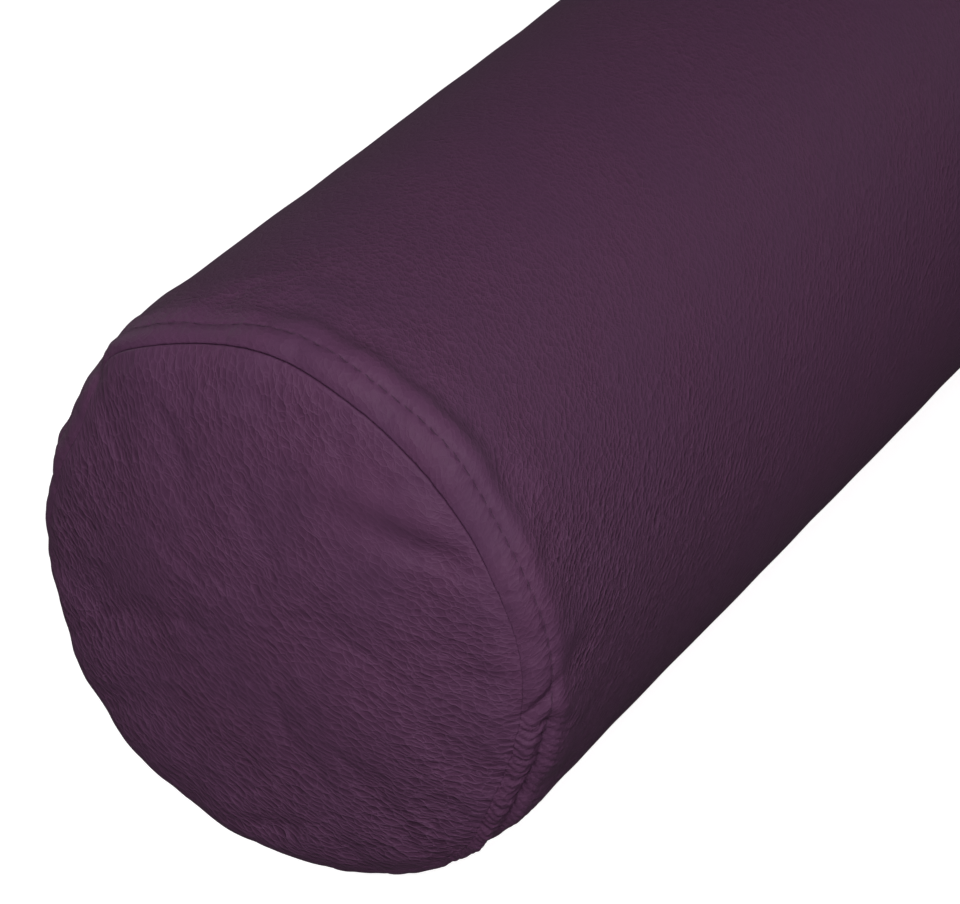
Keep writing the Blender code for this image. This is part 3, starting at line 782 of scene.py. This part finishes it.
def cross_stitches(name, thread, x):
    """The dense zigzag bar that closes one end of the zip's opening."""
    count = 44
    spots = np.linspace(-ZIP_STITCH_C, ZIP_STITCH_C, count)
    t = np.linspace(-1, 1, 7)
    across = spots[:, None] + 0.11 * t[None, :]
    along = x + 1.1 * t[None, :] * np.where(np.arange(count) % 2 == 0, 1, -1)[:, None]
    angle = ZIP_ANGLE + across / RADIUS
    height = 0.35 - 0.55 * np.abs(t) ** 6
    paths = tube_at(along, angle, zip_groove(np.abs(across), along) + height[None, :])
    return strand_object(name, paths, 0.24, thread, sides=6)


def make_coil(name, side, nylon):
    """One row of the zip's coil: a wire wound in flat loops whose heads meet those of the other row."""
    turns = int(2 * CHAIN_END / COIL_PITCH)
    t = np.arange(turns * 10 + 1) / 10
    x = -CHAIN_END + 0.4 + t * COIL_PITCH + (COIL_PITCH / 2 if side < 0 else 0)
    x = x[x < CHAIN_END - 0.2]
    phase = 2 * pi * t[: len(x)]
    reach = 1.0 + 0.95 * np.cos(phase)
    across = side * (0.60 + 1.05 * (2 - reach))
    out = TAPE_R + 1.08 + 0.68 * np.sin(phase)
    x = x + 0.22 * np.sin(2 * phase)
    y = -out * np.sin(ZIP_ANGLE) - across * np.cos(ZIP_ANGLE)
    z = AXIS_HEIGHT + out * np.cos(ZIP_ANGLE) - across * np.sin(ZIP_ANGLE)
    return strand_object(name, np.stack([x, y, z], axis=-1)[None], COIL_WIRE, nylon, sides=6)


def make_tape(name, side, cloth):
    """A zip tape with a thick woven cord under the coil, following the bolster's curve."""
    across = np.concatenate([np.linspace(0.5, 3.2, 8), np.linspace(3.9, 15.0, 12)])
    sheet = Sheet()
    top = TAPE_R - 0.02 + 0.04 * bump(across - 4.2, 0.8)
    outline_c = np.concatenate([across, across[::-1]])
    outline_r = np.concatenate([top, top[::-1] - TAPE_THICK])
    angle = ZIP_ANGLE + side * outline_c / RADIUS
    for x in np.linspace(-TAPE_END, TAPE_END, 120):
        along = np.full(len(angle), x)
        points = placed(along, outline_r, angle)
        marks = np.stack([along, side * outline_c, np.zeros(len(angle))], axis=-1)
        sheet.row(points, marks, np.arange(len(angle)), closed=True, flip=side < 0)
    return sheet.finish(name, cloth)


# ---------------- materials


class Shader:
    """A material's node tree, with short ways to add and link nodes."""

    def __init__(self, name):
        self.material = bpy.data.materials.new(name)
        self.material.use_nodes = True
        self.tree = self.material.node_tree
        self.surface = self.tree.nodes["Principled BSDF"]

    def node(self, kind, **settings):
        made = self.tree.nodes.new("ShaderNode" + kind)
        for key, value in settings.items():
            setattr(made, key, value)
        return made

    def link(self, source, target):
        if isinstance(source, (int, float, tuple)):
            target.default_value = source
        else:
            self.tree.links.new(source, target)

    def math(self, operation, a, b, clamp=False):
        made = self.node("Math", operation=operation, use_clamp=clamp)
        self.link(a, made.inputs[0])
        self.link(b, made.inputs[1])
        return made.outputs[0]

    def times(self, a, b):
        return self.math("MULTIPLY", a, b)

    def noise(self, where, scale, detail=2.0, rough=0.5, out="Fac"):
        made = self.node("TexNoise")
        self.link(where, made.inputs["Vector"])
        made.inputs["Scale"].default_value = scale
        made.inputs["Detail"].default_value = detail
        made.inputs["Roughness"].default_value = rough
        return made.outputs[out]

    def voronoi(self, where, scale, feature="DISTANCE_TO_EDGE"):
        made = self.node("TexVoronoi", feature=feature)
        self.link(where, made.inputs["Vector"])
        made.inputs["Scale"].default_value = scale
        return made.outputs["Distance"]

    def wave(self, where, scale, way, uneven=0.0):
        made = self.node("TexWave", bands_direction=way)
        self.link(where, made.inputs["Vector"])
        made.inputs["Scale"].default_value = scale
        made.inputs["Distortion"].default_value = uneven
        return made.outputs["Fac"]

    def vector(self, operation, a, b):
        made = self.node("VectorMath", operation=operation)
        self.link(a, made.inputs[0])
        self.link(b, made.inputs[1])
        return made.outputs[0]

    def drift(self, where, scale, detail, reach):
        """A random push, up to half this reach each way."""
        push = self.vector("SUBTRACT", self.noise(where, scale, detail, 0.5, "Color"), (0.5, 0.5, 0.5))
        return self.vector("MULTIPLY", push, (reach, reach, reach))

    def spread(self, value, low, high, to_low=0.0, to_high=1.0):
        made = self.node("MapRange", interpolation_type="SMOOTHSTEP")
        self.link(value, made.inputs["Value"])
        made.inputs["From Min"].default_value = low
        made.inputs["From Max"].default_value = high
        self.link(to_low, made.inputs["To Min"])
        self.link(to_high, made.inputs["To Max"])
        return made.outputs["Result"]

    def mix(self, share, a, b):
        made = self.node("Mix", data_type="RGBA")
        for value, target in ((share, 0), (a, 6), (b, 7)):
            self.link((*value, 1.0) if isinstance(value, tuple) else value, made.inputs[target])
        return made.outputs[2]

    def turned(self, where, degrees, scale):
        made = self.node("Mapping")
        self.link(where, made.inputs["Vector"])
        made.inputs["Rotation"].default_value = (0, 0, radians(degrees))
        made.inputs["Scale"].default_value = scale
        return made.outputs["Vector"]

    def bump(self, height, distance):
        made = self.node("Bump")
        self.link(height, made.inputs["Height"])
        made.inputs["Strength"].default_value = 1.0
        made.inputs["Distance"].default_value = distance
        self.link(made.outputs["Normal"], self.surface.inputs["Normal"])

    def place(self):
        """Where a point lies on the object."""
        return self.node("TexCoord").outputs["Object"]

    def skin(self):
        """Where a point lies on the flat leather or tape, with the leather's smoothness as its third part."""
        return self.node("Attribute", attribute_name="skin").outputs["Vector"]

    def set(self, **values):
        for key, value in values.items():
            name = key.replace("_", " ").title().replace("Ior", "IOR")
            self.link(value, self.surface.inputs[name])


def leather_material():
    """Aubergine artificial leather. Its cells, raised at their edges and sunk in the middle, carry a painted
    highlight on their edges and painted shade in their middles. They sweep across the disc in arcs and run
    round the tube, and are pulled smoother over the padded seam band."""
    sh = Shader("cover_leather_grain")
    skin = sh.skin()
    parts = sh.node("SeparateXYZ")
    sh.link(skin, parts.inputs[0])
    band = parts.outputs["Z"]
    flat = sh.vector("MULTIPLY", skin, (1.0, 1.0, 0.0))
    on_disc = sh.math("GREATER_THAN", parts.outputs["X"], (DISC_SKIN + END_X) / 2)

    warped = sh.vector("ADD", flat, sh.drift(flat, 0.09, 2, 3.6))
    warped = sh.vector("ADD", warped, sh.drift(flat, 0.45, 1, 0.6))
    disc_way = sh.vector("MULTIPLY", warped, (0.68, 0.27, 1.0))
    tube_way = sh.vector("MULTIPLY", warped, (0.72, 0.58, 1.0))
    way = sh.node("Mix", data_type="VECTOR")
    sh.link(on_disc, way.inputs[0])
    sh.link(tube_way, way.inputs[4])
    sh.link(disc_way, way.inputs[5])
    way = way.outputs[1]

    edge = sh.voronoi(way, 1.0)
    ridge = sh.spread(edge, 0.0, 0.13, 1.0, 0.0)
    basin = sh.math("POWER", sh.voronoi(way, 1.0, "F1"), 2.0)
    small = sh.spread(sh.voronoi(way, 2.3), 0.0, 0.25, 1.0, 0.0)
    fine = sh.noise(flat, 2.4, 3, 0.6)
    cells = sh.math("ADD", sh.times(ridge, 0.12), sh.times(basin, 0.60))
    cells = sh.math("ADD", cells, sh.times(small, 0.08))
    grain = sh.math("ADD", cells, sh.times(fine, 0.06))
    patches = sh.noise(flat, 0.045, 3, 0.55)
    strength = sh.math("SUBTRACT", 1.0, sh.times(band, 0.78))
    strength = sh.times(strength, sh.spread(patches, 0.3, 0.7, 0.75, 1.1))
    strength = sh.times(strength, sh.spread(on_disc, 0, 1, 0.95, 1.0))
    sh.bump(sh.times(grain, strength), 0.0005)

    # The first tone is painted shade for the sunk middles of the cells. The last tone lightens the smoothed
    # band and is also the painted highlight on the cells' raised edges.
    shade_tone, base, light = (0.036, 0.0135, 0.032), (0.056, 0.0215, 0.050), (0.078, 0.0330, 0.071)
    tone = sh.mix(sh.spread(patches, 0.3, 0.72), base, (0.060, 0.0217, 0.051))
    tone = sh.mix(sh.times(band, 0.10), tone, light)
    # Painted shade: the tone darkens towards the sunk middle of each cell, where shade would fall.
    hollow = sh.times(sh.spread(edge, 0.14, 0.40), sh.times(strength, 0.30))
    tone = sh.mix(hollow, tone, shade_tone)
    # Painted highlight: the tone lightens along the raised cell edges, as if they caught the light.
    tone = sh.mix(sh.times(ridge, sh.times(strength, 0.40)), tone, light)
    rough = sh.math("ADD", sh.spread(fine, 0.2, 0.8, 0.54, 0.66), sh.times(band, -0.04))
    sh.set(base_color=tone, roughness=rough, specular_ior_level=0.08)
    return sh.material


def thread_material():
    sh = Shader("sewing_thread")
    where = sh.place()
    twist = sh.wave(where, 1300.0, "DIAGONAL", 1.0)
    fuzz = sh.noise(where, 2600.0)
    tone = sh.mix(twist, (0.034, 0.0130, 0.030), (0.062, 0.0250, 0.056))
    sh.bump(sh.math("ADD", twist, sh.times(fuzz, 0.4)), 0.00008)
    sh.set(base_color=tone, roughness=0.62, specular_ior_level=0.2)
    return sh.material


def tape_material():
    sh = Shader("zip_tape_weave")
    skin = sh.skin()
    weave = sh.times(sh.wave(skin, 0.55, "X"), sh.wave(skin, 0.40, "Y"))
    tone = sh.mix(weave, (0.042, 0.013, 0.036), (0.100, 0.038, 0.086))
    sh.bump(weave, 0.00012)
    sh.set(base_color=tone, roughness=0.85, sheen_weight=0.2)
    return sh.material


def nylon_material():
    sh = Shader("zip_nylon")
    where = sh.place()
    mottled = sh.noise(where, 400.0, 3)
    tone = sh.mix(mottled, (0.052, 0.018, 0.045), (0.088, 0.036, 0.077))
    sh.bump(mottled, 0.00002)
    sh.set(base_color=tone, roughness=sh.spread(mottled, 0.3, 0.7, 0.28, 0.42))
    return sh.material


def metal_material():
    """Plated zinc, worn a little brighter on its raised edges."""
    sh = Shader("slider_metal_worn")
    where = sh.place()
    grain = sh.noise(where, 900.0, 4, 0.65)
    scratch = sh.noise(sh.turned(where, 20, (60, 2200, 300)), 1.0, 2, 0.6)
    edge = sh.node("NewGeometry").outputs["Pointiness"]
    worn = sh.math("MULTIPLY", sh.spread(edge, 0.52, 0.60), sh.spread(grain, 0.35, 0.6), clamp=True)
    tone = sh.mix(worn, (0.42, 0.40, 0.41), (0.66, 0.64, 0.62))
    sh.bump(sh.math("ADD", grain, scratch), 0.000012)
    sh.set(base_color=tone, metallic=1.0, roughness=sh.spread(scratch, 0.3, 0.7, 0.26, 0.42))
    return sh.material


def foam_material():
    sh = Shader("foam_cells")
    where = sh.place()
    cells = sh.voronoi(where, 900.0, "F1")
    blush = sh.noise(where, 18.0, 3)
    tone = sh.mix(blush, (0.74, 0.66, 0.42), (0.83, 0.78, 0.58))
    tone = sh.mix(sh.spread(cells, 0.5, 0.9), tone, (0.52, 0.45, 0.28))
    sh.bump(cells, 0.0004)
    sh.set(base_color=tone, roughness=0.95)
    return sh.material


def fibre_material():
    sh = Shader("fibre_wadding")
    where = sh.place()
    hairs = sh.noise(sh.turned(where, 35, (200, 900, 500)), 1.0, 6, 0.75)
    tone = sh.mix(hairs, (0.62, 0.62, 0.60), (0.90, 0.90, 0.89))
    sh.bump(hairs, 0.0015)
    sh.set(base_color=tone, roughness=0.95, sheen_weight=0.3)
    return sh.material


# ---------------- the object


def keep_cad(nodes, material, bevel=0.0):
    """CAD nodes whose shape is right get a finer material, and small round edges where asked."""
    for name in nodes:
        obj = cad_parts[name]
        for place in obj.material_slots:
            place.material = material
        if bevel:
            edge = obj.modifiers.new("Soft edges", "BEVEL")
            edge.width = bevel
            edge.segments = 3
            edge.limit_method = "ANGLE"
            edge.harden_normals = True


def ride(obj, node):
    """A finished piece rides on the bolster in place of its CAD node."""
    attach(obj, "bolster")
    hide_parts(node)


def build():
    leather, thread, nylon = leather_material(), thread_material(), nylon_material()
    cloth, metal, fibre = tape_material(), metal_material(), fibre_material()
    ride(make_tube(leather), "cover_tube")
    for end, label in ((LEFT, "left"), (RIGHT, "right")):
        ride(make_disc(end, leather, f"cover_leather_disc_{label}"), f"end_disc_{label}")
        ride(ring_stitches(end, f"stitches_end_{label}", thread), f"end_topstitch_{label}")
        x = end.side * BARTACK_X
        ride(seam_thread(end, f"seam_thread_end_{label}", thread), f"end_seam_thread_{label}")
        ride(cross_stitches(f"stitches_bartack_{label}", thread, x), f"zip_bartack_{label}")
        span = sorted((end.side * BACK_SEAM_START, end.side * BACK_SEAM_END))
        seam = straight_stitches(f"stitches_back_seam_{label}", thread, *span, BACK_SEAM_C)
        ride(seam, f"back_seam_thread_{label}")
        ride(make_pad(end, fibre, f"fibre_pad_lofty_{label}"), f"fibre_pad_{label}")
    ride(make_wrap(fibre), "fibre_wrap")
    for side, label in ((1, "upper"), (-1, "lower")):
        c = side * ZIP_STITCH_C
        row = straight_stitches(f"stitches_zip_{label}", thread, -ZIP_STITCH_END, ZIP_STITCH_END, c)
        ride(row, f"zip_topstitch_{label}")
        ride(make_coil(f"coil_wire_{label}", side, nylon), f"zip_coil_{label}")
        ride(make_tape(f"tape_woven_{label}", side, cloth), f"zip_tape_{label}")
    keep_cad(("zip_top_stop_upper", "zip_top_stop_lower", "zip_bottom_stop"), nylon, 0.0002)
    keep_cad(("slider_body", "slider_bail", "pull_tab"), metal, 0.00018)
    keep_cad(("foam_core",), foam_material())


# ---------------- studio


def studio():
    """A white floor under an even pale sky, a large soft key behind and above the camera, and weaker
    lights near the disc, in front, behind and past the far end."""
    floor_mesh = bpy.data.meshes.new("floor")
    floor_mesh.from_pydata([(-9, -9, 0), (9, -9, 0), (9, 9, 0), (-9, 9, 0)], [], [(0, 1, 2, 3)])
    sh = Shader("floor_white")
    seen = sh.node("LightPath").outputs["Is Camera Ray"]
    sh.set(base_color=sh.mix(seen, (0.16, 0.16, 0.16), (0.42, 0.415, 0.418)), roughness=0.7)
    sh.set(emission_color=(1.0, 0.985, 0.99, 1.0), emission_strength=sh.times(seen, 0.86))
    floor = mesh_object("floor", floor_mesh, sh.material)
    floor.location.z = -0.0003

    scene = bpy.context.scene
    scene.view_settings.view_transform = "Standard"
    scene.view_settings.look = "None"
    world = bpy.data.worlds.new("pale_sky")
    world.use_nodes = True
    tree = world.node_tree
    seen = tree.nodes.new("ShaderNodeLightPath").outputs["Is Camera Ray"]
    glow = tree.nodes.new("ShaderNodeMapRange")
    glow.inputs["To Min"].default_value = 0.19
    glow.inputs["To Max"].default_value = 1.1
    tree.links.new(seen, glow.inputs["Value"])
    tree.links.new(glow.outputs["Result"], tree.nodes["Background"].inputs["Strength"])
    tree.nodes["Background"].inputs["Color"].default_value = (1.0, 0.985, 0.99, 1.0)
    scene.world = world

    for name, place, power, size in (
        ("key", (-1.93, -0.97, 1.30), 33.5, 1.2),
        ("near", (-0.66, -0.22, 0.52), 2.7, 0.35),
        ("fill", (-0.4, -2.4, 1.6), 7.0, 1.8),
        ("back", (0.2, 2.4, 0.4), 15.0, 1.4),
        ("far_end", (2.3, -1.0, 0.9), 8.0, 1.4),
    ):
        light = bpy.data.lights.new(name, "AREA")
        light.energy = power
        light.size = size
        lamp = bpy.data.objects.new(name, light)
        lamp.location = place
        aim = Vector((-0.1, 0, 0.07)) - lamp.location
        lamp.rotation_euler = aim.to_track_quat("-Z", "Y").to_euler()
        lamp.visible_camera = False
        scene.collection.objects.link(lamp)


def camera():
    """A long lens beyond the near end and in front of it, looking down along the tube. Its distances
    from the near end are in radii of the bolster."""
    tilt = radians(32.8)
    level = Vector((0.8535, 0.5210, 0.0)).normalized()
    right = Vector((level.y, -level.x, 0.0))
    ahead = level * cos(tilt) - Vector((0, 0, sin(tilt)))
    up = level * sin(tilt) + Vector((0, 0, cos(tilt)))
    near_end = Vector((-0.3222, 0.0, 0.07526))
    radius = RADIUS * MILLI
    data = bpy.data.cameras.new("camera")
    data.lens = 150
    data.sensor_width = 36
    data.clip_start = 0.01
    cam = bpy.data.objects.new("camera", data)
    place = near_end + (right * 0.634 + up * 0.502 - ahead * 12.58) * radius
    turn = Matrix((right, up, -ahead)).transposed().to_4x4()
    cam.matrix_world = Matrix.Translation(place) @ turn
    bpy.context.scene.collection.objects.link(cam)
    bpy.context.scene.camera = cam


build()
studio()
camera()
